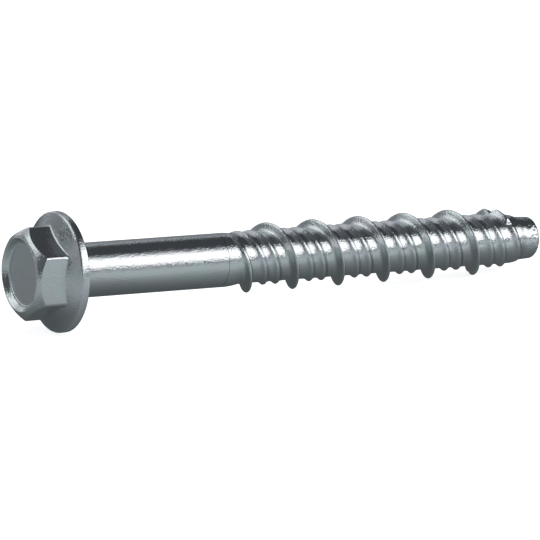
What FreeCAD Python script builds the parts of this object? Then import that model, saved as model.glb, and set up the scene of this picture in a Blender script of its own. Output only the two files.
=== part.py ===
"""Concrete screw with an indented hex flange head, forged and thread-rolled from one steel blank.

Millimetres and degrees. The screw is first made about its own axis, which is the X axis:
the underside of the flange is at x = 0, the head is at minus x and the point at plus x.
Turns about the axis are right-handed about plus x, and zero is straight up.
The last step lays the screw down on the floor, at z = 0, as it comes to rest.
"""

import FreeCAD
import Part
import math
import os

# Overall
LENGTH = 100.0  # under the flange, to the end of the point
SHANK_DIAMETER = 9.9
SHANK_LENGTH = 33.0  # plain shank, to where the thread starts

# Hexagon head
ACROSS_FLATS = 15.0
HEAD_HEIGHT = 8.7  # from the underside of the flange to the top of the rim
HEX_TURN = -0.3  # one corner of the hexagon, past straight up
HEX_CORNER_ROUNDING = 0.45
RIM_DIAMETER = 13.4  # narrow flat rim round the recess, where the crown starts
CROWN_RADIUS = 14.0  # of the slightly rounded crown that takes the corners off
CROWN_START_SLOPE = 37.0  # of the crown where it leaves the rim

# Recess pressed into the top of the head
RECESS_DIAMETER = 13.0
RECESS_DEPTH = 1.15
RECESS_WALL_SLOPE = 58.0

# Flange
FLANGE_DIAMETER = 21.8
FLANGE_EDGE = 1.5  # thickness at the rim
FLANGE_SLOPE = 28.0  # of its upper side
FLANGE_TOP_ROUNDING = 0.5
FLANGE_BOTTOM_CHAMFER = 0.3
HEX_FOOT_ROUNDING = 0.4  # fillet between the hexagon and the flange
UNDERHEAD_CHAMFER = 0.6

# Rolled length, from the end of the shank to the plain point
CORE_DIAMETER = 9.1
ROLLING_STEP = 0.02  # how far the rolled length lies below the shank at its start
NECK_LENGTH = 4.0  # over which the shank draws in to the core
POINT_LENGTH = 3.0  # plain point past the thread
POINT_NECK_LENGTH = 2.0  # over which the core draws in to the point
POINT_DIAMETER = 8.1
POINT_END_DIAMETER = 7.8
POINT_CHAMFER = 0.6

# Tall cutting thread
PITCH = 9.82
THREAD_TURN = -5.0  # where it starts, from straight up
THREAD_DIAMETER = 12.6
THREAD_FOOT_WIDTH = 2.1
THREAD_CREST_WIDTH = 0.5
THREAD_RUN_IN = 4.4  # length over which it grows out of the neck
THREAD_RUN_OUT = 5.6  # length over which it sinks into the point
RUN_OUT_CURVE = 1.7

# Two low ridges between the turns of the tall thread
RIDGE_DIAMETER = 10.2
RIDGE_FOOT_WIDTH = 1.9
RIDGE_CREST_WIDTH = 0.6
RIDGE_PLACES = (3.6, 6.23)  # past the crest of the tall thread
RIDGE_START = 1.3  # past the end of the shank
RIDGE_RUN = 2.0  # length over which a ridge grows or sinks
RIDGE_END = 1.6  # before the end of the rolled length

# Cutting teeth, left between notches in the last turn of the tall thread
NOTCH_COUNT = 5
NOTCH_SPACING = 54.5
NOTCH_END_TURN = 137.0  # from the last notch to the end of the thread
NOTCH_ANGLE = 100.0
NOTCH_FIRST_DEPTH = 0.58
NOTCH_LAST_DEPTH = 1.5

# How finely the thread's guide curves are laid out
POINTS_PER_TURN = 12

AXIS = FreeCAD.Vector(1, 0, 0)
ORIGIN = FreeCAD.Vector(0, 0, 0)
THREAD_END = LENGTH - POINT_LENGTH


def rounded_outline(corners):
    """Closed wire through (x, y, z, rounding) corners, with a tangent arc in each rounded corner."""
    points = [FreeCAD.Vector(*corner[:3]) for corner in corners]
    edges = []
    ends = []
    for index, (point, corner) in enumerate(zip(points, corners)):
        back = (points[index - 1] - point).normalize()
        ahead = (points[(index + 1) % len(points)] - point).normalize()
        rounding = corner[3]
        if rounding == 0:
            ends.append((point, point))
            continue
        half = back.getAngle(ahead) / 2
        start = point + back * (rounding / math.tan(half))
        finish = point + ahead * (rounding / math.tan(half))
        inward = (back + ahead).normalize()
        middle = point + inward * (rounding / math.sin(half) - rounding)
        edges.append(Part.Arc(start, middle, finish).toShape())
        ends.append((start, finish))
    for index in range(len(ends)):
        leave = ends[index - 1][1]
        reach = ends[index][0]
        if leave.distanceToPoint(reach) > 1e-6:
            edges.append(Part.makeLine(leave, reach))
    return Part.Wire(Part.__sortEdges__(edges))


def turned(profile):
    """Solid of revolution about the screw's axis, from (x, radius, rounding) corners."""
    wire = rounded_outline([(x, 0, radius, rounding) for x, radius, rounding in profile])
    return Part.Face(wire).revolve(ORIGIN, AXIS, 360)


def shank_with_flange():
    """Flange and plain shank, with the flange's cone carried on inside the hexagon."""
    flange = FLANGE_DIAMETER / 2
    shank = SHANK_DIAMETER / 2
    inner = ACROSS_FLATS / 2 - FLANGE_TOP_ROUNDING
    peak = -FLANGE_EDGE - (flange - inner) * math.tan(math.radians(FLANGE_SLOPE))
    return turned([
        (peak, 0, 0),
        (peak, inner, 0),
        (-FLANGE_EDGE, flange, FLANGE_TOP_ROUNDING),
        (-FLANGE_BOTTOM_CHAMFER, flange, 0),
        (0, flange - FLANGE_BOTTOM_CHAMFER, 0),
        (0, shank + UNDERHEAD_CHAMFER, 0),
        (UNDERHEAD_CHAMFER, shank, 0),
        (SHANK_LENGTH, shank, 0),
        (SHANK_LENGTH, 0, 0),
    ])


def hexagon():
    """Hexagonal prism with rounded corners, from inside the flange to the top of the head."""
    corner_radius = ACROSS_FLATS / math.sqrt(3)
    corners = []
    for index in range(6):
        turn = math.radians(HEX_TURN + 60 * index)
        y = -corner_radius * math.sin(turn)
        z = corner_radius * math.cos(turn)
        corners.append((-HEAD_HEIGHT, y, z, HEX_CORNER_ROUNDING))
    face = Part.Face(rounded_outline(corners))
    return face.extrude(AXIS * (HEAD_HEIGHT - FLANGE_EDGE / 2))


def crown():
    """Turned body whose rounded shoulder takes the corners of the hexagon off at the top."""
    start = math.radians(CROWN_START_SLOPE)
    centre_x = -HEAD_HEIGHT + CROWN_RADIUS * math.cos(start)
    centre_radius = RIM_DIAMETER / 2 - CROWN_RADIUS * math.sin(start)
    past_corners = 0.6 * ACROSS_FLATS
    finish = math.asin(min((past_corners - centre_radius) / CROWN_RADIUS, 1.0))
    shoulder = []
    for slope in (start, (start + finish) / 2, finish):
        x = centre_x - CROWN_RADIUS * math.cos(slope)
        radius = centre_radius + CROWN_RADIUS * math.sin(slope)
        shoulder.append(FreeCAD.Vector(x, 0, radius))
    below = [
        shoulder[2],
        FreeCAD.Vector(0, 0, shoulder[2].z),
        ORIGIN,
        FreeCAD.Vector(-HEAD_HEIGHT, 0, 0),
        shoulder[0],
    ]
    edges = [Part.Arc(*shoulder).toShape()]
    for first, second in zip(below, below[1:]):
        edges.append(Part.makeLine(first, second))
    return Part.Face(Part.Wire(edges)).revolve(ORIGIN, AXIS, 360)


def recess():
    """Shallow round recess with a sloping wall."""
    top = RECESS_DIAMETER / 2
    slope = math.tan(math.radians(RECESS_WALL_SLOPE))
    floor = -HEAD_HEIGHT + RECESS_DEPTH
    above = -HEAD_HEIGHT - RECESS_DEPTH
    return turned([
        (floor, 0, 0),
        (floor, top - RECESS_DEPTH / slope, 0),
        (above, top + RECESS_DEPTH / slope, 0),
        (above, 0, 0),
    ])


def headed_shank():
    """Head, flange and shank in one, with a fillet where the hexagon stands on the flange."""
    head = hexagon().common(crown()).cut(recess())
    blank = shank_with_flange().fuse(head)
    foot_edges = []
    for edge in blank.Edges:
        box = edge.BoundBox
        radius = math.hypot(edge.valueAt(edge.FirstParameter).y, edge.valueAt(edge.FirstParameter).z)
        on_flange = -HEAD_HEIGHT / 2 < box.XMin and box.XMax < -FLANGE_EDGE
        if on_flange and radius > ACROSS_FLATS / 2 - HEX_FOOT_ROUNDING and box.XLength < edge.Length / 2:
            foot_edges.append(edge)
    return blank.makeFillet(HEX_FOOT_ROUNDING, foot_edges)


def eased(share):
    """Share that leaves 0 and reaches 1 without a kink."""
    share = min(max(share, 0.0), 1.0)
    return share * share * (3 - 2 * share)


def core_radius(x):
    """Radius of the rolled core at a distance x from the flange, with its two soft necks."""
    start = SHANK_DIAMETER / 2 - ROLLING_STEP
    core = CORE_DIAMETER / 2
    point = POINT_DIAMETER / 2
    neck = eased((x - SHANK_LENGTH) / NECK_LENGTH)
    point_neck = eased((x - THREAD_END + POINT_NECK_LENGTH) / POINT_NECK_LENGTH)
    return start + (core - start) * neck + (point - core) * point_neck


def tall_share(x):
    """Share of its full height that the tall thread has at a distance x from the flange."""
    grown = eased((x - SHANK_LENGTH) / THREAD_RUN_IN)
    left = min(max((THREAD_END - x) / THREAD_RUN_OUT, 0.0), 1.0)
    return min(grown, left ** RUN_OUT_CURVE)


def ridge_share(x):
    """Share of its full height that a low ridge has at a distance x from the flange."""
    grown = eased((x - SHANK_LENGTH - RIDGE_START) / RIDGE_RUN)
    return min(grown, eased((THREAD_END - RIDGE_END - x) / RIDGE_RUN))


def thread_profile():
    """Corners of one pitch: distance past the tall crest, full radius, share of height, its run."""
    foot = THREAD_FOOT_WIDTH / 2
    crest = THREAD_CREST_WIDTH / 2
    tall = THREAD_DIAMETER / 2
    corners = [
        (-foot, tall, 0.0, tall_share),
        (-crest, tall, 1.0, tall_share),
        (crest, tall, 1.0, tall_share),
        (foot, tall, 0.0, tall_share),
    ]
    foot = RIDGE_FOOT_WIDTH / 2
    crest = RIDGE_CREST_WIDTH / 2
    low = RIDGE_DIAMETER / 2
    for place in RIDGE_PLACES:
        corners += [
            (place - foot, low, 0.0, ridge_share),
            (place - crest, low, 1.0, ridge_share),
            (place + crest, low, 1.0, ridge_share),
            (place + foot, low, 0.0, ridge_share),
        ]
    return corners


def guide_curve(corner, first_turn, last_turn):
    """Curve that a corner of the profile follows round the core; its parameter counts turns."""
    past, full_radius, height_share, run = corner
    points = []
    turns = []
    for step in range(first_turn * POINTS_PER_TURN, last_turn * POINTS_PER_TURN + 1):
        turn = step / POINTS_PER_TURN
        x = SHANK_LENGTH + PITCH * turn + past
        core = core_radius(x)
        radius = core + (full_radius - core) * height_share * run(x)
        angle = math.radians(THREAD_TURN + 360 * turn)
        points.append(FreeCAD.Vector(x, -radius * math.sin(angle), radius * math.cos(angle)))
        turns.append(turn)
    curve = Part.BSplineCurve()
    curve.interpolate(Points=points, Parameters=turns)
    return curve


def strip(first, second):
    """Screw surface between two guide curves, straight from one to the other along the profile."""
    surface = Part.BSplineSurface()
    poles = [first.getPoles(), second.getPoles()]
    surface.buildFromPolesMultsKnots(
        poles, [2, 2], first.getMultiplicities(), [0.0, 1.0], first.getKnots(),
        False, False, 1, first.Degree,
    )
    return surface


def stepped_end(guides, turn):
    """Faces that close the rolled skin at a turn: a helical step and the flat side of that step."""
    first = guides[0]
    low = FreeCAD.Vector(first.value(turn).x, 0, 0)
    high = FreeCAD.Vector(first.value(turn + 1).x, 0, 0)
    step = Part.makeRuledSurface(Part.makeLine(low, high), first.toShape(turn, turn + 1))
    side = [low] + [guide.value(turn) for guide in guides] + [high, low]
    return [step, Part.Face(Part.makePolygon(side))]


def rolled_length():
    """Core with the tall thread and the low ridges, cut square where it meets shank and point.

    The skin is made of screw surfaces between guide curves, one set for each turn. It runs
    past both ends by a turn, so that its stepped ends fall outside the squared length.
    """
    before = -1
    foot = THREAD_FOOT_WIDTH / 2
    after = math.ceil((THREAD_END - SHANK_LENGTH + foot) / PITCH)
    corners = thread_profile()
    past, full_radius, height_share, run = corners[0]
    corners.append((past + PITCH, full_radius, height_share, run))
    guides = [guide_curve(corner, before - 1, after + 2) for corner in corners]
    faces = stepped_end(guides, before) + stepped_end(guides, after)
    for first, second in zip(guides, guides[1:]):
        surface = strip(first, second)
        for turn in range(before, after):
            faces.append(surface.toShape(0, 1, turn, turn + 1))
    skin = Part.makeShell(faces)
    skin.sewShape(1e-5)
    body = Part.Solid(skin)
    square = Part.makeCylinder(
        THREAD_DIAMETER, THREAD_END - SHANK_LENGTH, AXIS * SHANK_LENGTH, AXIS
    )
    return square.common(body)


def notch(index):
    """V-shaped notch across the tall thread: a wedge with its edge along the axis."""
    end_turn = THREAD_TURN + 360 * (THREAD_END - SHANK_LENGTH) / PITCH
    turn = end_turn - NOTCH_END_TURN - NOTCH_SPACING * (NOTCH_COUNT - 1 - index)
    x = SHANK_LENGTH + PITCH * (turn - THREAD_TURN) / 360
    deepening = index / max(NOTCH_COUNT - 1, 1)
    depth = NOTCH_FIRST_DEPTH + (NOTCH_LAST_DEPTH - NOTCH_FIRST_DEPTH) * deepening
    bottom = THREAD_DIAMETER / 2 - depth
    top = THREAD_DIAMETER / 2 + depth
    half_width = (top - bottom) * math.tan(math.radians(NOTCH_ANGLE / 2))
    start = x - THREAD_FOOT_WIDTH / 2
    outline = [
        FreeCAD.Vector(start, 0, bottom),
        FreeCAD.Vector(start, half_width, top),
        FreeCAD.Vector(start, -half_width, top),
        FreeCAD.Vector(start, 0, bottom),
    ]
    wedge = Part.Face(Part.makePolygon(outline)).extrude(AXIS * THREAD_FOOT_WIDTH)
    wedge.rotate(ORIGIN, AXIS, turn)
    return wedge


def point():
    """Plain, slightly tapered point with a chamfered end."""
    return turned([
        (THREAD_END, 0, 0),
        (THREAD_END, POINT_DIAMETER / 2 - ROLLING_STEP, 0),
        (LENGTH - POINT_CHAMFER, POINT_END_DIAMETER / 2, 0),
        (LENGTH, POINT_END_DIAMETER / 2 - POINT_CHAMFER, 0),
        (LENGTH, 0, 0),
    ])


def laid_down(screw):
    """The screw as it rests: on the edge of its flange and the last full turn of its thread."""
    flange = FLANGE_DIAMETER / 2
    thread = THREAD_DIAMETER / 2
    first_below = SHANK_LENGTH + PITCH * (180 - THREAD_TURN) / 360
    turns = math.floor((THREAD_END - THREAD_RUN_OUT - first_below) / PITCH)
    last_below = first_below + turns * PITCH
    between = FLANGE_BOTTOM_CHAMFER + last_below + THREAD_CREST_WIDTH / 2
    dip = math.atan((flange - thread) / between)
    screw.rotate(ORIGIN, FreeCAD.Vector(0, 1, 0), math.degrees(dip))
    height = flange * math.cos(dip) - FLANGE_BOTTOM_CHAMFER * math.sin(dip)
    box = screw.optimalBoundingBox(False, False)
    screw.translate(FreeCAD.Vector(-box.Center.x, -box.Center.y, height))
    return screw


def concrete_screw():
    """The whole screw in one solid."""
    rolled = rolled_length().cut([notch(index) for index in range(NOTCH_COUNT)])
    return headed_shank().fuse([rolled, point()])


os.makedirs("parts", exist_ok=True)
laid_down(concrete_screw()).exportStep("parts/concrete_screw.step")
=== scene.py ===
import math

import bpy
import numpy as np
from mathutils import Matrix, Vector


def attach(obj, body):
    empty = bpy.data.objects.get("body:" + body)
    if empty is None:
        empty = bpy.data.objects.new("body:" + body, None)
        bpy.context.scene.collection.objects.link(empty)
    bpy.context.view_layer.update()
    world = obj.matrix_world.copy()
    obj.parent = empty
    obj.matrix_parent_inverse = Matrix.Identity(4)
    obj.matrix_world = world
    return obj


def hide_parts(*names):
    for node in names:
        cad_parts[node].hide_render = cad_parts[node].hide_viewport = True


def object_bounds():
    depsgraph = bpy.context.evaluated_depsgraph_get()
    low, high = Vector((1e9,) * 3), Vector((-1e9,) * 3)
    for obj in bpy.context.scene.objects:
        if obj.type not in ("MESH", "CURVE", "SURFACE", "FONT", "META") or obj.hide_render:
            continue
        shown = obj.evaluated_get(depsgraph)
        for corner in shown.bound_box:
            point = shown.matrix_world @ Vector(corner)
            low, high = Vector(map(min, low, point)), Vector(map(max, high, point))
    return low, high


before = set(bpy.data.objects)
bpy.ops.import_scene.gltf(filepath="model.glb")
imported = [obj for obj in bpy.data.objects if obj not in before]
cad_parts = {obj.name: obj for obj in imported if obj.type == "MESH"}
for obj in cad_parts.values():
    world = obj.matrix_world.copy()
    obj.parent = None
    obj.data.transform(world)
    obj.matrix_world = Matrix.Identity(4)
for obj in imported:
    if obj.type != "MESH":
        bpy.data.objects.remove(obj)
cad_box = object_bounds()


# The screw as it lies
# The real screw is one piece of carbon steel. It rests on the edge of its flange and on the last full
# turn of its thread, so that its axis dips a little from the head to the point.
# Lengths are in millimetres and turns in degrees; the underside of the flange is at 0 along the axis.
MILLIMETRE = 0.001
LENGTH = 100.0
FLANGE_DIAMETER = 21.8
FLANGE_FOOT_ROUNDING = 0.3
THREAD_START = 33.0
THREAD_END = 97.0
THREAD_TURN = -5.0
THREAD_DIAMETER = 12.6
THREAD_RUN_OUT = 5.6
THREAD_CREST = 0.5
PITCH = 9.82
POINT_FACE_RADIUS = 3.3

first_below = THREAD_START + PITCH * (180 - THREAD_TURN) / 360
full_turns = math.floor((THREAD_END - THREAD_RUN_OUT - first_below) / PITCH)
last_below = first_below + full_turns * PITCH
flange_radius = FLANGE_DIAMETER / 2
dip = math.atan((flange_radius - THREAD_DIAMETER / 2) / (FLANGE_FOOT_ROUNDING + last_below + THREAD_CREST / 2))
along = np.array([math.cos(dip), 0, -math.sin(dip)])
upward = np.array([math.sin(dip), 0, math.cos(dip)])
nearward = np.array([0, -1, 0])
flange_centre = np.array([
    cad_box[1].x / MILLIMETRE - LENGTH * math.cos(dip) - POINT_FACE_RADIUS * math.sin(dip),
    0,
    flange_radius * math.cos(dip) - FLANGE_FOOT_ROUNDING * math.sin(dip),
])


def laid_down(distance, radius, turn):
    """Places points of the screw in the scene, in metres: the flange's centre, plus the distance
    along the axis, plus the radius turned right-handed about the axis from straight up."""
    turn = np.radians(turn)[..., None]
    outward = np.cos(turn) * upward + np.sin(turn) * nearward
    return (flange_centre + distance[..., None] * along + radius[..., None] * outward) * MILLIMETRE


# Head and flange
# A hexagon with a rounded crown and a shallow round recess in its top, forged in one blow with the
# conical flange under it. The forging leaves every edge rounded.
ACROSS_FLATS = 15.0
HEAD_HEIGHT = 8.7
HEX_TURN = -0.3
HEX_CORNER_ROUNDING = 0.75
HEX_FOOT_ROUNDING = 0.4
RIM_DIAMETER = 13.4
RIM_ROUNDING = 0.2
CROWN_RADIUS = 14.0
CROWN_START_SLOPE = 37.0
CROWN_EDGE_ROUNDING = 0.3
RECESS_DIAMETER = 13.0
RECESS_DEPTH = 1.15
RECESS_WALL_SLOPE = 58.0
RECESS_FOOT_ROUNDING = 0.7
FLANGE_EDGE = 1.5
FLANGE_SLOPE = 28.0
FLANGE_EDGE_ROUNDING = 0.5
SHANK_DIAMETER = 9.9
SHANK_FILLET = 0.6
SHANK_END = 31.0
CORNERS = 6
HALF_SIDE_TURN = 180 / CORNERS
COLUMNS_PER_CORNER = 36
CORNER_CROWDING = 0.3
CROWN_ROWS = 4

# the columns of points crowd together at the corners, where the hexagon turns
steps = np.linspace(-1, 1, COLUMNS_PER_CORNER, endpoint=False)
crowded = HALF_SIDE_TURN * (CORNER_CROWDING * steps + (1 - CORNER_CROWDING) * steps * np.abs(steps))
columns = (HEX_TURN + 2 * HALF_SIDE_TURN * np.arange(CORNERS)[:, None] + crowded).ravel()


def hexagon_radius(turn):
    """Half the width across flats over the cosine of the turn from the middle of a flat, and near a
    corner the far side of the circle that rounds it."""
    half_width = ACROSS_FLATS / 2
    half_side = math.radians(HALF_SIDE_TURN)
    past_corner = (turn - HEX_TURN + HALF_SIDE_TURN) % (2 * HALF_SIDE_TURN) - HALF_SIDE_TURN
    past_corner = np.radians(past_corner)
    flat = half_width / np.cos(half_side - np.abs(past_corner))
    centre = (half_width - HEX_CORNER_ROUNDING) / math.cos(half_side)
    across = np.minimum(np.abs(centre * np.sin(past_corner)), HEX_CORNER_ROUNDING)
    corner = centre * np.cos(past_corner) + np.sqrt(HEX_CORNER_ROUNDING ** 2 - across ** 2)
    touch = math.atan2(
        HEX_CORNER_ROUNDING * math.sin(half_side),
        centre + HEX_CORNER_ROUNDING * math.cos(half_side),
    )
    return np.where(np.abs(past_corner) < touch, corner, flat)


def rounded_profile(corners):
    """Rows of (distance, radius) points down a profile, for every column at once. Each corner is
    (distance, radius, rounding, rows of its arc, rows of the straight run after it). Its arc begins
    and ends at the rounding over the tangent of half its angle from the corner, and between them
    the two ends weigh as the sines of their shares of the arc's sweep."""
    places = [
        np.stack(np.broadcast_arrays(distance, radius, columns), -1)[..., :2]
        for distance, radius, *_ in corners
    ]
    rows = []
    left = places[0]
    for index in range(1, len(corners)):
        run_rows = corners[index - 1][4]
        place = places[index]
        rounding, arc_rows = corners[index][2:4]
        start = end = place
        if rounding > 0:
            back = places[index - 1] - place
            back /= np.linalg.norm(back, axis=-1, keepdims=True)
            ahead = places[index + 1] - place
            ahead /= np.linalg.norm(ahead, axis=-1, keepdims=True)
            half = np.arccos(np.clip((back * ahead).sum(-1), -1, 1))[..., None] / 2
            start = place + back * rounding / np.tan(half)
            end = place + ahead * rounding / np.tan(half)
            middle = back + ahead
            middle /= np.linalg.norm(middle, axis=-1, keepdims=True)
            centre = place + middle * rounding / np.sin(half)
        for row in range(1, run_rows + 1):
            share = row / (run_rows + 1)
            rows.append(left * (1 - share) + start * share)
        rows.append(start)
        if rounding > 0:
            sweep = math.pi - 2 * half
            for row in range(1, arc_rows):
                share = row / arc_rows
                from_start = np.sin((1 - share) * sweep) * (start - centre)
                from_end = np.sin(share * sweep) * (end - centre)
                rows.append(centre + (from_start + from_end) / np.sin(sweep))
            rows.append(end)
        left = end
    return np.array(rows)


hex_radius = hexagon_radius(columns)
recess_floor = RECESS_DEPTH - HEAD_HEIGHT
recess_foot = RECESS_DIAMETER / 2 - RECESS_DEPTH / math.tan(math.radians(RECESS_WALL_SLOPE))
crown_start = math.radians(CROWN_START_SLOPE)
crown_centre = RIM_DIAMETER / 2 - CROWN_RADIUS * math.sin(crown_start)
crown_end = np.arcsin((hex_radius - crown_centre) / CROWN_RADIUS)
head_profile = [
    (recess_floor, 0, 0, 0, 7),
    (recess_floor, recess_foot, RECESS_FOOT_ROUNDING, 7, 1),
    (-HEAD_HEIGHT, (RECESS_DIAMETER + RIM_DIAMETER) / 4, RIM_ROUNDING, 6, 0),
]
for crown_row in range(1, CROWN_ROWS + 1):
    at_edge = crown_row == CROWN_ROWS
    crown_slope = crown_start + (crown_end - crown_start) * crown_row / CROWN_ROWS
    crown_drop = CROWN_RADIUS * (math.cos(crown_start) - np.cos(crown_slope))
    head_profile.append((
        -HEAD_HEIGHT + crown_drop,
        crown_centre + CROWN_RADIUS * np.sin(crown_slope),
        CROWN_EDGE_ROUNDING if at_edge else 0, 5, 4 if at_edge else 0,
    ))
hex_foot = -FLANGE_EDGE - (flange_radius - hex_radius) * math.tan(math.radians(FLANGE_SLOPE))
head_profile += [
    (hex_foot, hex_radius, HEX_FOOT_ROUNDING, 6, 4),
    (-FLANGE_EDGE, flange_radius, FLANGE_EDGE_ROUNDING, 7, 2),
    (0, flange_radius, FLANGE_FOOT_ROUNDING, 5, 3),
    (0, SHANK_DIAMETER / 2, SHANK_FILLET, 6, 8),
    (SHANK_END, SHANK_DIAMETER / 2, 0, 0, 0),
]
head_rows = rounded_profile(head_profile)


# Rolled thread
# Flat dies roll the tall cutting thread and the two low ridges between its turns out of the shank,
# which draws in to a thinner core. The last turn of the thread is notched, and its teeth cut.
CORE_DIAMETER = 9.1
NECK_LENGTH = 4.0
POINT_DIAMETER = 8.1
POINT_NECK_LENGTH = 2.0
THREAD_HALF_WIDTH = 0.6
THREAD_RUN_IN = 4.4
RUN_OUT_CURVE = 1.7
RIDGE_DIAMETER = 10.2
RIDGE_HALF_WIDTH = 0.61
RIDGE_PLACES = (3.6, 6.23)
RIDGE_START = 1.3
RIDGE_RUN = 2.0
RIDGE_END = 1.6
FLANK_POWER = 2.2
NOTCH_COUNT = 5
NOTCH_SPACING = 54.5
NOTCH_END_TURN = 137.0
NOTCH_ANGLE = 100.0
NOTCH_DEPTHS = (0.58, 1.5)
NOTCH_SOFTNESS = 0.12
ROWS_PER_PITCH = 46
THREAD_ROW_CROWDING = (3.2, 1.1)
RIDGE_ROW_CROWDING = (2.4, 0.9)
PHASE_STEPS = 2000
ROW_MARGIN = 0.5
END_MARGIN = 0.01


def eased(share):
    """Three times the square less twice the cube, between 0 and 1: it leaves and arrives level."""
    share = np.clip(share, 0, 1)
    return share * share * (3 - 2 * share)


def core_radius(distance):
    """The shank's radius, less an eased step at each of the two necks."""
    neck = eased((distance - THREAD_START) / NECK_LENGTH)
    point_neck = eased((distance - THREAD_END + POINT_NECK_LENGTH) / POINT_NECK_LENGTH)
    drawn_in = (SHANK_DIAMETER - CORE_DIAMETER) * neck + (CORE_DIAMETER - POINT_DIAMETER) * point_neck
    return (SHANK_DIAMETER - drawn_in) / 2


def past_ridge(past_crest, place):
    """Distance to the nearest turn of a ridge: the distance past the crest, wrapped to half a pitch."""
    return (past_crest - place + PITCH / 2) % PITCH - PITCH / 2


def flank(past, half_width):
    """Height of a ridge beside its crest, as a share: a bell curve with a flattened top."""
    return np.exp(-(np.abs(past) / half_width) ** FLANK_POWER)


def notched(radius, total_turn):
    """The lower of the crest and a notch: its bottom radius plus the arc from its middle over the
    tangent of half its angle, with the corner between them softened."""
    end_turn = THREAD_TURN + 360 * (THREAD_END - THREAD_START) / PITCH
    for index in range(NOTCH_COUNT):
        deepening = index / (NOTCH_COUNT - 1)
        depth = NOTCH_DEPTHS[0] + (NOTCH_DEPTHS[1] - NOTCH_DEPTHS[0]) * deepening
        bottom = THREAD_DIAMETER / 2 - depth
        middle = end_turn - NOTCH_END_TURN - NOTCH_SPACING * (NOTCH_COUNT - 1 - index)
        arc = np.abs(np.radians(total_turn - middle)) * bottom
        side = bottom + arc / math.tan(math.radians(NOTCH_ANGLE / 2))
        radius = (radius + side - np.sqrt((radius - side) ** 2 + NOTCH_SOFTNESS ** 2)) / 2
    return radius


def rolled_radius(distance, turn):
    """The core, with the higher of the tall thread and the low ridges on it, each at its share of
    full height, as it grows out of the neck and sinks into the point."""
    core = core_radius(distance)
    past_crest = distance - THREAD_START - PITCH * (turn - THREAD_TURN) / 360
    total_turn = turn + 360 * np.round(past_crest / PITCH)
    grown = eased((distance - THREAD_START) / THREAD_RUN_IN)
    left = np.clip((THREAD_END - distance) / THREAD_RUN_OUT, 0, 1) ** RUN_OUT_CURVE
    tall = (THREAD_DIAMETER / 2 - core) * np.minimum(grown, left)
    tall = notched(core + tall * flank(past_ridge(past_crest, 0), THREAD_HALF_WIDTH), total_turn)
    grown = eased((distance - THREAD_START - RIDGE_START) / RIDGE_RUN)
    left = eased((THREAD_END - RIDGE_END - distance) / RIDGE_RUN)
    low = (RIDGE_DIAMETER / 2 - core) * np.minimum(grown, left)
    first, second = (flank(past_ridge(past_crest, place), RIDGE_HALF_WIDTH) for place in RIDGE_PLACES)
    return np.maximum(np.maximum(tall, core), core + low * np.maximum(first, second))


def row_phases():
    """Distances past the tall crest at which rows lie, close together on the ridges: evenly spaced
    in the running total of a density with a peak, of a height and a half width, at each ridge."""
    fine = np.linspace(0, PITCH, PHASE_STEPS + 1)
    peak, half_width = THREAD_ROW_CROWDING
    density = 1 + peak * np.exp(-(past_ridge(fine, 0) / half_width) ** 2)
    peak, half_width = RIDGE_ROW_CROWDING
    for place in RIDGE_PLACES:
        density += peak * np.exp(-(past_ridge(fine, place) / half_width) ** 2)
    total = np.concatenate([[0], np.cumsum((density[1:] + density[:-1]) / 2)])
    wanted = np.arange(ROWS_PER_PITCH) / ROWS_PER_PITCH * total[-1]
    return np.interp(wanted, total, fine)


# each row follows the thread round, and its end meets the row that starts a pitch further on
wide_columns = np.append(columns, columns[0] + 360)
first_crest = THREAD_START + PITCH * (columns[0] - THREAD_TURN) / 360
first_pitch = math.floor((SHANK_END - first_crest) / PITCH) - 1
past_last_pitch = math.ceil((THREAD_END - first_crest) / PITCH) + 1
pitches = np.arange(first_pitch, past_last_pitch)
row_starts = (first_crest + PITCH * pitches[:, None] + row_phases()).ravel()
row_starts = row_starts[row_starts > SHANK_END - PITCH - ROW_MARGIN]
rolled_distance = row_starts[:, None] + PITCH * (wide_columns - columns[0]) / 360
rolled_distance[:, -1] = row_starts + PITCH
before = rolled_distance <= SHANK_END + END_MARGIN
after = rolled_distance >= THREAD_END - END_MARGIN
rolled_turn = np.broadcast_to(wide_columns, rolled_distance.shape)
rolled_points = laid_down(rolled_distance, rolled_radius(rolled_distance, rolled_turn), rolled_turn)


# Point
# The plain end of the shank past the thread, which leads the screw into its hole. The dies leave it
# unrolled, with a slight taper and a rounded edge.
POINT_END_DIAMETER = 7.8
POINT_ROUNDING = 0.8
point_rows = rounded_profile([
    (THREAD_END - END_MARGIN, POINT_DIAMETER / 2, 0, 0, 0),
    (THREAD_END, POINT_DIAMETER / 2, 0, 0, 5),
    (LENGTH, POINT_END_DIAMETER / 2, POINT_ROUNDING, 8, 5),
    (LENGTH, 0, 0, 0, 0),
])[:-1]


def grid_faces(ids):
    """The four-cornered faces between neighbours in a grid of point numbers."""
    return np.stack([ids[:-1, :-1], ids[:-1, 1:], ids[1:, 1:], ids[1:, :-1]], -1).reshape(-1, 4)


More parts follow.
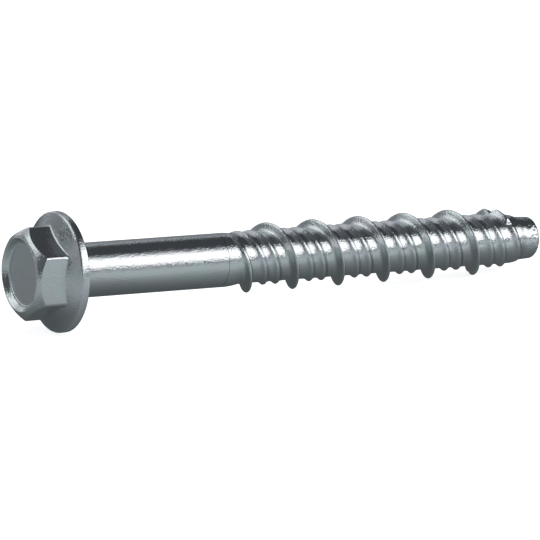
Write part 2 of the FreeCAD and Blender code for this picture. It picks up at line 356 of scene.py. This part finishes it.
def joined_skin():
    """One closed skin from the grids. Points of the rolled length that fall past either end of it
    stand for the nearest ring, so that its faces end there in triangles, with no gap."""
    width = len(columns)
    head_points = laid_down(head_rows[..., 0], head_rows[..., 1], columns)
    point_points = laid_down(point_rows[..., 0], point_rows[..., 1], columns)
    poles = laid_down(np.array([recess_floor, LENGTH]), np.zeros(2), np.zeros(2))
    head_ids = 2 + np.arange(head_points[..., 0].size).reshape(-1, width)
    point_ids = head_ids.max() + 1 + np.arange(point_points[..., 0].size).reshape(-1, width)
    rows = len(row_starts)
    rolled_ids = point_ids.max() + 1 + np.arange(rows * width).reshape(rows, width)
    next_pitch = np.minimum(np.arange(rows) + ROWS_PER_PITCH, rows - 1)
    rolled_ids = np.hstack([rolled_ids, rolled_ids[next_pitch, :1]])
    ring = np.append(np.arange(width), 0)
    rolled_ids = np.where(before, head_ids[-1][ring], rolled_ids)
    rolled_ids = np.where(after, point_ids[0][ring], rolled_ids)
    points = np.vstack([
        poles,
        head_points.reshape(-1, 3),
        point_points.reshape(-1, 3),
        rolled_points[:, :-1].reshape(-1, 3),
    ])
    head_grid = np.vstack([np.zeros((1, width), int), head_ids])[:, ring]
    point_grid = np.vstack([point_ids, np.ones((1, width), int)])[:, ring]
    quads = np.vstack([grid_faces(ids) for ids in (head_grid, point_grid, rolled_ids)])
    same = quads == np.roll(quads, -1, axis=1)
    whole = quads[same.sum(1) == 0]
    folded = quads[same.sum(1) == 1]
    kept = ~same[same.sum(1) == 1]
    triangles = folded[kept].reshape(-1, 3)
    corners = np.concatenate([whole.ravel(), triangles.ravel()])
    used, renumbered = np.unique(corners, return_inverse=True)
    triangles = renumbered[whole.size:].reshape(-1, 3)
    whole = renumbered[:whole.size].reshape(-1, 4)
    return points[used], whole.tolist() + triangles.tolist()


screw_points, screw_faces = joined_skin()
screw_mesh = bpy.data.meshes.new("zinc_plated_screw")
screw_mesh.from_pydata(screw_points, [], screw_faces)
screw_mesh.shade_smooth()
screw = bpy.data.objects.new("zinc_plated_screw", screw_mesh)
bpy.context.scene.collection.objects.link(screw)
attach(screw, "root")
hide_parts("concrete_screw")


# Zinc plating
# A thin bright coat of zinc, plated on and passivated to a faint blue. The coat is fine-grained, so
# the edges of what it mirrors are ragged, and its tint drifts from place to place.
def feed(place, value):
    """Links a node's output to a socket, or sets a plain value on it."""
    if isinstance(value, Socket):
        value.tree.links.new(value.output, place)
    else:
        place.default_value = value


class Socket:
    """A number that varies over a surface, as the output of a node, with arithmetic on it."""

    def __init__(self, tree, output):
        self.tree = tree
        self.output = output

    def maths(self, operation, *others):
        """A Math node on this number and the others."""
        node = self.tree.nodes.new("ShaderNodeMath")
        node.operation = operation
        for place, value in zip(node.inputs, (self, *others)):
            feed(place, value)
        return Socket(self.tree, node.outputs[0])

    def __add__(self, other):
        return self.maths("ADD", other)

    def __sub__(self, other):
        return self.maths("SUBTRACT", other)

    def __rsub__(self, other):
        return self * -1 + other

    def __mul__(self, other):
        return self.maths("MULTIPLY", other)

    def __truediv__(self, other):
        return self.maths("DIVIDE", other)

    __radd__ = __add__
    __rmul__ = __mul__


class Shader:
    """The nodes of one material or of the world, with one method that adds any node."""

    def __init__(self, owner):
        owner.use_nodes = True
        self.tree = owner.node_tree
        self.tree.nodes.clear()

    def node(self, kind, output, settings=None, *values, **sockets):
        """Adds a node, sets its settings, then the values or links of its sockets, in their order
        or by name, and gives one of its outputs. Underscores in a name stand for spaces."""
        made = self.tree.nodes.new(kind)
        for name, value in (settings or {}).items():
            setattr(made, name, value)
        for place, value in zip(made.inputs, values):
            feed(place, value)
        for name, value in sockets.items():
            feed(made.inputs[name.replace("_", " ")], value)
        return made if output is None else Socket(self.tree, made.outputs[output])

    def mix(self, share, first, second):
        """A colour between the first and the second, by the share of the second. The node's own
        colours are its inputs 6 and 7 and its output 2."""
        made = self.node("ShaderNodeMix", None, {"data_type": "RGBA"}, share)
        feed(made.inputs[6], first)
        feed(made.inputs[7], second)
        return Socket(self.tree, made.outputs[2])

    def ramp(self, value, start, end, low=0.0, high=1.0):
        """A smooth step from low to high, as the value goes from start to end."""
        return self.node(
            "ShaderNodeMapRange", "Result", {"interpolation_type": "SMOOTHSTEP"},
            Value=value, From_Min=start, From_Max=end, To_Min=low, To_Max=high,
        )


GRAIN_SIZE = 0.3
GRAIN_HEIGHT = 0.056
PEEL_SIZE = 1.8
PEEL_HEIGHT = 0.03
POINT_PEEL_SIZE = 0.75
POINT_PEEL_HEIGHT = 0.18
ROUGHNESS_LEAST = 0.05
ROUGHNESS_DRIFT = 0.1
TINT_SIZE = 3.6
TINT_EDGES = (0.38, 0.62)
ZINC_GREEN = (0.692, 0.735, 0.732, 1)
ZINC_VIOLET = (0.71, 0.713, 0.745, 1)
RING_PLACE = 31.85
RING_WIDTH = 0.15
RING_SHARE = 0.6
RING_GREY = (0.2, 0.22, 0.23, 1)

zinc = bpy.data.materials.new("zinc_plating")
shader = Shader(zinc)
on_zinc = shader.node("ShaderNodeTexCoord", "Object")


def mottle(size, detail):
    """Noise whose blotches are about the given size in millimetres."""
    scale = 1 / (size * MILLIMETRE)
    return shader.node("ShaderNodeTexNoise", "Fac", Vector=on_zinc, Scale=scale, Detail=detail)


tint_share = shader.ramp(mottle(TINT_SIZE, 2.0), *TINT_EDGES)
tint = shader.mix(tint_share, ZINC_GREEN, ZINC_VIOLET)

# the rolling dies leave a fine ring where the plain shank ends
to_ring = Vector(flange_centre + RING_PLACE * along) * MILLIMETRE
from_ring = shader.node("ShaderNodeVectorMath", "Vector", {"operation": "SUBTRACT"}, on_zinc, to_ring)
past_ring = shader.node("ShaderNodeVectorMath", "Value", {"operation": "DOT_PRODUCT"}, from_ring, Vector(along))
ring = shader.ramp(past_ring.maths("ABSOLUTE"), RING_WIDTH * MILLIMETRE, 0)
colour = shader.mix(RING_SHARE * ring, tint, RING_GREY)

# the coat is lumpy on the plain point, which the dies don't touch
point_start = (THREAD_END - RING_PLACE) * MILLIMETRE
on_point = shader.ramp(past_ring, point_start, point_start + MILLIMETRE)

roughness = ROUGHNESS_LEAST + ROUGHNESS_DRIFT * mottle(PEEL_SIZE, 3.0)
relief = GRAIN_HEIGHT * mottle(GRAIN_SIZE, 2.0) + PEEL_HEIGHT * mottle(PEEL_SIZE, 1.0)
relief = relief + POINT_PEEL_HEIGHT * mottle(POINT_PEEL_SIZE, 2.0) * on_point
bump = shader.node("ShaderNodeBump", "Normal", Height=relief, Distance=MILLIMETRE)
surface = shader.node(
    "ShaderNodeBsdfPrincipled", "BSDF", Base_Color=colour,
    Metallic=1.0, Roughness=roughness, Normal=bump,
)
shader.node("ShaderNodeOutputMaterial", None, Surface=surface)
screw_mesh.materials.append(zinc)


# Floor and backdrop
# A plain white sweep. The camera sees a white floor and backdrop, and the plating mirrors in their place
# a glowing card with painted shadow and a glowing white panel, painted reflections which the camera doesn't
# see.
# Lengths in this section are in metres, and east is towards the point, north away from the camera.
STAGE_RADIUS = 3.0
STAGE_SIDES = 96
WHITE = (1, 1, 1, 1)
FLOOR_GLOW = 0.82
FLOOR_PAINT = (0.8, 0.8, 0.8, 1)


def stage_disc(name, height, paint):
    """A flat disc round the origin: points at even turns on a circle, in one face."""
    turns = np.linspace(0, 2 * math.pi, STAGE_SIDES, endpoint=False)
    rim = np.stack([
        STAGE_RADIUS * np.cos(turns), STAGE_RADIUS * np.sin(turns), np.full(STAGE_SIDES, height),
    ], -1)
    mesh = bpy.data.meshes.new(name)
    mesh.from_pydata(rim, [], [list(range(STAGE_SIDES))])
    mesh.materials.append(paint)
    disc = bpy.data.objects.new(name, mesh)
    bpy.context.scene.collection.objects.link(disc)
    return disc


floor_paint = bpy.data.materials.new("white_floor")
sweep = Shader(floor_paint)
floor_glow = sweep.node("ShaderNodeEmission", "Emission", Color=WHITE, Strength=FLOOR_GLOW)
floor_matt = sweep.node("ShaderNodeBsdfDiffuse", "BSDF", Color=FLOOR_PAINT)
floor_surface = sweep.node("ShaderNodeAddShader", "Shader", None, floor_glow, floor_matt)
sweep.node("ShaderNodeOutputMaterial", None, Surface=floor_surface)
floor = stage_disc("floor", 0, floor_paint)
floor.visible_glossy = False

# the card lies under the screw and glows, a painted reflection of the floor with painted shadow: dark below its
# far side, and lighter in front and past the head
CARD_HEIGHT = -0.0002
CARD_TINT = (0.89, 1, 1.03)
CARD_PAINTED_SHADOW = 0.1
CARD_LIGHT = 0.52
FRONT_EDGES = (0.003, -0.029)
HEAD_EDGES = (-0.032, -0.022)
HEAD_SHARE = 0.78
POINT_EDGES = (0.045, 0.07)
POINT_SHARE = 1.4
PAST_HEAD_EDGES = (-0.048, -0.078)
PAST_HEAD_SIDES = (-0.01, 0.04)
NEAR_SIDE_SHARE = 0.74
FAR_SIDE_SHARE = 0.33

card_paint = bpy.data.materials.new("painted_reflection_card")
card = Shader(card_paint)
on_card = card.node("ShaderNodeTexCoord", "Object")
card_east, card_north = (card.node("ShaderNodeSeparateXYZ", part, Vector=on_card) for part in "XY")
in_front = card.ramp(card_north, *FRONT_EDGES)
in_front = in_front * card.ramp(card_east, *HEAD_EDGES, low=HEAD_SHARE, high=1)
in_front = in_front * card.ramp(card_east, *POINT_EDGES, low=1, high=POINT_SHARE)
past_head = card.ramp(card_east, *PAST_HEAD_EDGES)
past_head = past_head * card.ramp(card_north, *PAST_HEAD_SIDES, low=NEAR_SIDE_SHARE, high=FAR_SIDE_SHARE)
# painted shadow and painted reflection: the card glows least under the screw's far side and most in front and
# past the head, and only the plating's reflections show it
card_shade = CARD_PAINTED_SHADOW + in_front.maths("MAXIMUM", past_head) * (CARD_LIGHT - CARD_PAINTED_SHADOW)
card_colour = card.node("ShaderNodeVectorMath", "Vector", {"operation": "SCALE"}, CARD_TINT, Scale=card_shade)
card_glow = card.node("ShaderNodeEmission", "Emission", Color=card_colour, Strength=1.0)
card.node("ShaderNodeOutputMaterial", None, Surface=card_glow)
mirrored_floor = stage_disc("mirrored_floor", CARD_HEIGHT, card_paint)
mirrored_floor.visible_camera = False
mirrored_floor.visible_diffuse = False
mirrored_floor.visible_shadow = False

# a glowing white panel hangs past the head, a painted reflection that only the plating shows, and its lower
# edge rises to the north
PANEL_DISTANCE = 0.115
PANEL_LEFT = 0.15
PANEL_RIGHT = -0.012
PANEL_BOTTOM = 0.047
PANEL_RISE = 0.45
PANEL_TOP = 0.25
PANEL_FADE = 0.01
PANEL_GLOW = 1.05
PANEL_TINT = (0.93, 1, 1, 1)

panel_paint = bpy.data.materials.new("painted_reflection_panel")
board = Shader(panel_paint)
on_panel = board.node("ShaderNodeTexCoord", "Object")
panel_north, panel_height = (board.node("ShaderNodeSeparateXYZ", part, Vector=on_panel) for part in "YZ")
over_edge = panel_height - PANEL_RISE * panel_north
inside = board.ramp(panel_north, PANEL_RIGHT, PANEL_RIGHT + PANEL_FADE)
inside = inside * board.ramp(over_edge, PANEL_BOTTOM, PANEL_BOTTOM + PANEL_FADE)
# painted reflection: the panel's glow is seen only in the plating, and lights nothing else
panel_glow = board.node("ShaderNodeEmission", "Emission", Color=PANEL_TINT, Strength=PANEL_GLOW)
clear = board.node("ShaderNodeBsdfTransparent", "BSDF")
panel_surface = board.node("ShaderNodeMixShader", "Shader", None, inside, clear, panel_glow)
board.node("ShaderNodeOutputMaterial", None, Surface=panel_surface)
panel_mesh = bpy.data.meshes.new("painted_reflection_panel")
panel_mesh.from_pydata([
    (-PANEL_DISTANCE, PANEL_LEFT, PANEL_BOTTOM), (-PANEL_DISTANCE, PANEL_RIGHT, PANEL_BOTTOM),
    (-PANEL_DISTANCE, PANEL_RIGHT, PANEL_TOP), (-PANEL_DISTANCE, PANEL_LEFT, PANEL_TOP),
], [], [(0, 1, 2, 3)])
panel_mesh.materials.append(panel_paint)
panel = bpy.data.objects.new("painted_reflection_panel", panel_mesh)
bpy.context.scene.collection.objects.link(panel)
panel.visible_camera = False
panel.visible_diffuse = False
panel.visible_shadow = False

# the backdrop is a dome over the floor, and starts a little below it
DOME_ROWS = 24
DOME_START = -0.02

backdrop_paint = bpy.data.materials.new("white_backdrop")
plain = Shader(backdrop_paint)
backdrop_glow = plain.node("ShaderNodeEmission", "Emission", Color=WHITE, Strength=1.0)
plain.node("ShaderNodeOutputMaterial", None, Surface=backdrop_glow)


def dome_points():
    """Points on a sphere round the origin: the cosine and the sine of the turn round it, each times
    the cosine of the turn up from level, and the sine of the turn up."""
    around = np.linspace(0, 2 * math.pi, STAGE_SIDES + 1)[None, :]
    raised = np.linspace(DOME_START, math.pi / 2, DOME_ROWS + 1)[:, None]
    x = np.cos(raised) * np.cos(around)
    y = np.cos(raised) * np.sin(around)
    return STAGE_RADIUS * np.stack(np.broadcast_arrays(x, y, np.sin(raised)), -1)


dome = dome_points()
dome_ids = np.arange(dome[..., 0].size).reshape(dome.shape[:2])
backdrop_mesh = bpy.data.meshes.new("backdrop")
backdrop_mesh.from_pydata(dome.reshape(-1, 3), [], grid_faces(dome_ids).tolist())
backdrop_mesh.materials.append(backdrop_paint)
backdrop = bpy.data.objects.new("backdrop", backdrop_mesh)
bpy.context.scene.collection.objects.link(backdrop)
backdrop.visible_glossy = False
backdrop.visible_diffuse = False
backdrop.visible_shadow = False


# Studio light
# What the plating mirrors: a long key softbox on the near side makes the white band along the screw,
# and fainter light stands behind it. The room between is dark, with a black flag beside the key, and
# the sweep of the floor glows along the horizon. Bearings are in degrees round from the point.
DIM_TINT = (0.91, 1, 1.1, 1)
BRIGHT_TINT = (0.99, 1, 1.01, 1)
FACING_FADE = 0.01

world = bpy.data.worlds.new("studio_room")
bpy.context.scene.world = world
room = Shader(world)
direction = room.node("ShaderNodeTexCoord", "Generated")
east, north, up = (room.node("ShaderNodeSeparateXYZ", part, Vector=direction) for part in "XYZ")


def softbox(bearing, left, right, bottom, top, glows):
    """An upright rectangle of light that faces the screw. Each side is a pair of tangents, its place
    over how far off the light stands: where it starts to glow, and where it has its full glow.
    The last pair is the glow at its left and at its right."""
    bearing = math.radians(bearing)
    facing = math.cos(bearing) * east + math.sin(bearing) * north
    across = (math.sin(bearing) * east - math.cos(bearing) * north) / facing
    raised = up / facing
    between_sides = room.ramp(across, *left) * room.ramp(across, *right)
    between_ends = room.ramp(raised, *bottom) * room.ramp(raised, *top)
    glow = room.ramp(across, left[1], right[1], *glows)
    return between_sides * between_ends * room.ramp(facing, 0, FACING_FADE) * glow


key = softbox(-62, (-2.3, -0.9), (2.5, 1.9), (0.185, 0.205), (1.45, 0.75), (1.8, 0.8))
low_back = softbox(134, (-0.36, -0.24), (0.42, 0.3), (-0.02, 0.02), (0.19, 0.13), (1.2, 1.3))
far = softbox(74, (-0.62, -0.45), (0.45, 0.3), (0.12, 0.2), (0.9, 0.6), (0.8, 0.22))
far_wall = softbox(95, (-1.3, -1.0), (1.15, 0.95), (0.64, 0.82), (4.5, 3.5), (0.65, 0.5))
flag = softbox(-132.5, (-0.14, -0.08), (0.14, 0.08), (-0.2, -0.1), (1.2, 0.9), (0.85, 0.85))

# the room itself, by how far a direction points east, north and up
north_wall = room.ramp(north, 0.5, 0.8, high=0.25)
west_wall = room.ramp(east, -0.78, -0.93, high=0.36) * room.ramp(north, -0.15, 0.1)
ceiling = room.ramp(up, 0.88, 0.98, high=0.16)
horizon = room.ramp(up, 0.065, 0.045) * room.ramp(north, -1, 1, low=0.42, high=0.22)
room_shade = room.ramp(east, 0, 0.5, low=0.11, high=0.06)
for wall in (north_wall, west_wall, ceiling, horizon):
    room_shade = room_shade.maths("MAXIMUM", wall)
room_shade = room_shade * (1 - flag)
for light in (key, low_back, far, far_wall):
    room_shade = room_shade.maths("MAXIMUM", light)
air = room.mix(room_shade, DIM_TINT, BRIGHT_TINT)
room_glow = room.node("ShaderNodeBackground", "Background", Color=air, Strength=room_shade)
room.node("ShaderNodeOutputWorld", None, Surface=room_glow)

# a broad soft lamp, which the plating doesn't mirror, shades the floor under the screw
OVERHEAD_STRENGTH = 0.8
OVERHEAD_ANGLE = 60

overhead_lamp = bpy.data.lights.new("overhead_light", "SUN")
overhead_lamp.energy = OVERHEAD_STRENGTH
overhead_lamp.angle = math.radians(OVERHEAD_ANGLE)
overhead = bpy.data.objects.new("overhead_light", overhead_lamp)
bpy.context.scene.collection.objects.link(overhead)
overhead.visible_glossy = False
bpy.context.scene.view_settings.view_transform = "Standard"


# Camera
# A long lens, level from side to side, that looks down a little past the head along the screw. It is
# placed so that the middle of the flange's underside falls on its own pixel, at its own distance.
FOCAL_PIXELS = 5000.0
IMAGE_SIDE = 540
SENSOR_WIDTH = 36
NEAREST = 0.05
FARTHEST = 10
CAMERA_ELEVATION = 13.32
CAMERA_AZIMUTH = -30.29
FLANGE_PIXEL = (61.7, 271.74)
FLANGE_DEPTH = 894.45

bearing = math.radians(CAMERA_AZIMUTH)
elevation = math.radians(CAMERA_ELEVATION)
right = np.array([math.cos(bearing), math.sin(bearing), 0])
level_look = np.array([-math.sin(bearing), math.cos(bearing), 0])
look = math.cos(elevation) * level_look + np.array([0, 0, -math.sin(elevation)])
image_up = np.cross(right, look)
offset = (np.array(FLANGE_PIXEL) - IMAGE_SIDE / 2) / FOCAL_PIXELS * FLANGE_DEPTH
eye = (flange_centre - offset[0] * right + offset[1] * image_up - FLANGE_DEPTH * look) * MILLIMETRE
lens = bpy.data.cameras.new("camera")
lens.sensor_width = SENSOR_WIDTH
lens.lens = SENSOR_WIDTH * FOCAL_PIXELS / IMAGE_SIDE
lens.clip_start = NEAREST
lens.clip_end = FARTHEST
camera = bpy.data.objects.new("camera", lens)
camera_turn = Matrix((right, image_up, -look)).transposed().to_4x4()
camera.matrix_world = Matrix.Translation(eye) @ camera_turn
bpy.context.scene.collection.objects.link(camera)
bpy.context.scene.camera = camera
